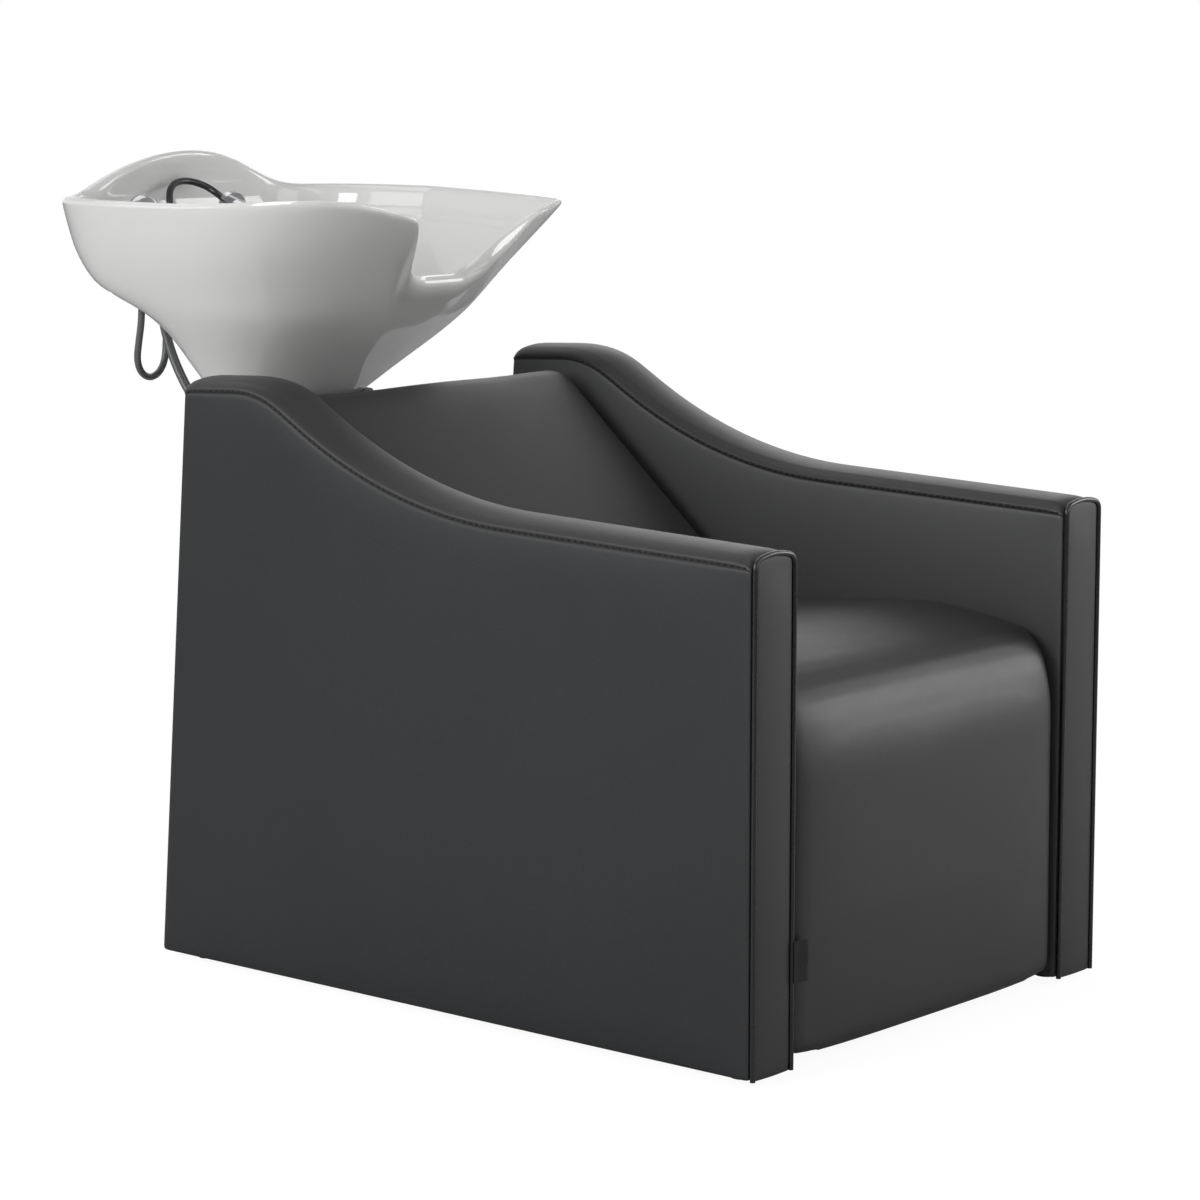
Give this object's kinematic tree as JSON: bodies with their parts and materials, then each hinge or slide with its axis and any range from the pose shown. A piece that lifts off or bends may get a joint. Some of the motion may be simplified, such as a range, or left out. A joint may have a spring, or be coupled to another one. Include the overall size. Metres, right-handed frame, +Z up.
{
  "type": "shampoo backwash unit",
  "caption": "Upholstered salon armchair with a tilting glazed basin, lever tap and pull-out hand spray behind its reclined back.",
  "frame": {"origin": "on the floor, under the middle of the whole unit's footprint", "axes": "+Z up, +Y from the sitter's side towards the basin, +X to the sitter's left as they sit facing -Y"},
  "size_m": [0.66, 1.2255, 0.964],
  "materials": {
    "charcoal_upholstery": "soft semi-matt artificial leather",
    "piping_vinyl": "semi-gloss",
    "tag_fabric": "matt woven",
    "frame_wood": "raw plywood",
    "backing_board": "black stained board",
    "white_ceramic": "high gloss glaze",
    "chrome": "polished",
    "steel": "zinc plated",
    "black_metal": "fine textured powder coat",
    "black_plastic": "moulded",
    "white_plastic": "moulded",
    "hose_black": "glossy sleeve",
    "hose_grey": "braid under clear sleeve",
    "gasket_rubber": "matt",
    "brass": "nickel plated"
  },
  "bodies": {
    "chair": {"left_arm_frame": "frame_wood", "left_arm_cover": "charcoal_upholstery", "left_arm_top_band": "charcoal_upholstery", "left_arm_front_panel": "charcoal_upholstery", "left_arm_piping": "piping_vinyl", "right_arm_frame": "frame_wood", "right_arm_cover": "charcoal_upholstery", "right_arm_top_band": "charcoal_upholstery", "right_arm_front_panel": "charcoal_upholstery", "right_arm_piping": "piping_vinyl", "floor_glides": "black_plastic", "frame_bolts": "steel", "seat_box": "frame_wood", "seam_tag": "tag_fabric", "seat_deck": "frame_wood", "seat_cushion": "charcoal_upholstery", "back_cushion": "charcoal_upholstery", "back_board": "backing_board", "rear_panel": "backing_board", "floor_plate": "black_metal", "column": "black_metal", "column_braces": "black_metal", "service_housing": "black_metal", "service_panel": "black_metal", "panel_screws": "steel", "head_bracket": "black_metal", "pivot_bolt": "steel", "waste_sleeve": "white_plastic", "waste_trap": "white_plastic", "waste_pipe": "white_plastic", "pipe_clips": "black_plastic"},
    "lock_lever": {"tilt_lock_lever": "black_plastic"},
    "basin_head": {"tilt_cradle": "black_metal", "base_gasket": "gasket_rubber", "basin": "white_ceramic", "waste_flange": "chrome", "waste_tail": "white_plastic", "waste_nut": "white_plastic", "mixer_body": "chrome", "shank_nut": "brass", "hose_block": "brass", "hose_grommet": "black_plastic", "spray_saddle": "black_plastic", "shower_hose": "hose_black", "supply_hose_hot": "hose_grey", "supply_hose_cold": "hose_grey", "supply_couplers": "brass"},
    "mixer_ring": {"mixer_collar": "chrome"},
    "mixer_handle": {"mixer_lever": "chrome"},
    "spray": {"hand_shower": "chrome", "spray_face": "black_plastic"},
    "strainer": {"hair_strainer": "chrome"}
  },
  "joints": [
    {"name": "basin_tilt", "type": "hinge", "parent": "chair", "child": "basin_head", "pos_m": [0, 0.347, 0.632], "axis": [1, 0, 0], "range_deg": [-6, 10]},
    {"name": "lock_lever_turn", "type": "hinge", "parent": "chair", "child": "lock_lever", "pos_m": [0.077, 0.347, 0.632], "axis": [1, 0, 0], "range_deg": [-35, 0]},
    {"name": "mixer_turn", "type": "hinge", "parent": "basin_head", "child": "mixer_ring", "pos_m": [-0.123, 0.539, 0.89], "axis": [0, 0, 1], "range_deg": [-50, 50]},
    {"name": "mixer_lift", "type": "hinge", "parent": "mixer_ring", "child": "mixer_handle", "pos_m": [-0.123, 0.539, 0.8983], "axis": [-1, 0, 0], "range_deg": [0, 15]},
    {"name": "spray_lift", "type": "slide", "parent": "basin_head", "child": "spray", "axis": [0, -0.28, 0.96], "range_m": [0, 0.25]},
    {"name": "strainer_lift", "type": "slide", "parent": "basin_head", "child": "strainer", "axis": [0, 0, 1], "range_m": [0, 0.12]}
  ]
}
